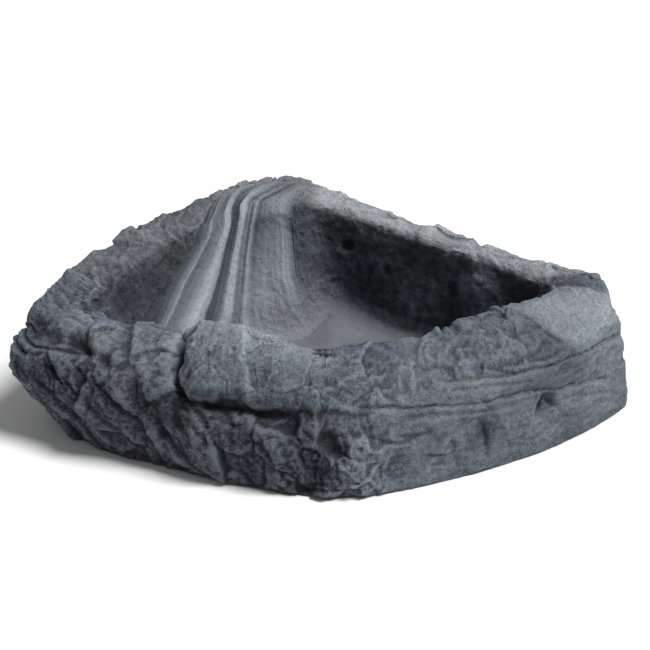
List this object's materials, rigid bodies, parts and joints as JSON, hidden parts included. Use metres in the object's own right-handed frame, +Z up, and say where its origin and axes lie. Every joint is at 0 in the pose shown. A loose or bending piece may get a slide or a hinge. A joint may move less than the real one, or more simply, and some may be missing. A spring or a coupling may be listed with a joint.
{
  "type": "corner rock water basin",
  "caption": "Quarter-round artificial-rock basin for a corner, with an open pool, a raised back corner and a ribbed cascade ramp running down into the water.",
  "frame": {"origin": "middle of the footprint's box, on the plane that the foot pads stand on", "axes": "+X to the right seen from the round front, +Y towards the square back corner, +Z up"},
  "size_m": [0.4084, 0.2744, 0.1166],
  "materials": {
    "rock": "matte",
    "liner": "matte",
    "ramp": "matte",
    "boulder": "matte",
    "foam": "matte",
    "plate": "matte",
    "rubber": "matte"
  },
  "bodies": {
    "root": {"rock_shell": "rock", "pool_liner": "liner", "cascade_ramp": "ramp", "rim_boulder": "boulder", "foam_core": "foam", "base_plate": "plate", "foot_pad_left": "rubber", "foot_pad_front_left": "rubber", "foot_pad_front_right": "rubber", "foot_pad_right": "rubber", "foot_pad_back_corner": "rubber"}
  },
  "joints": []
}
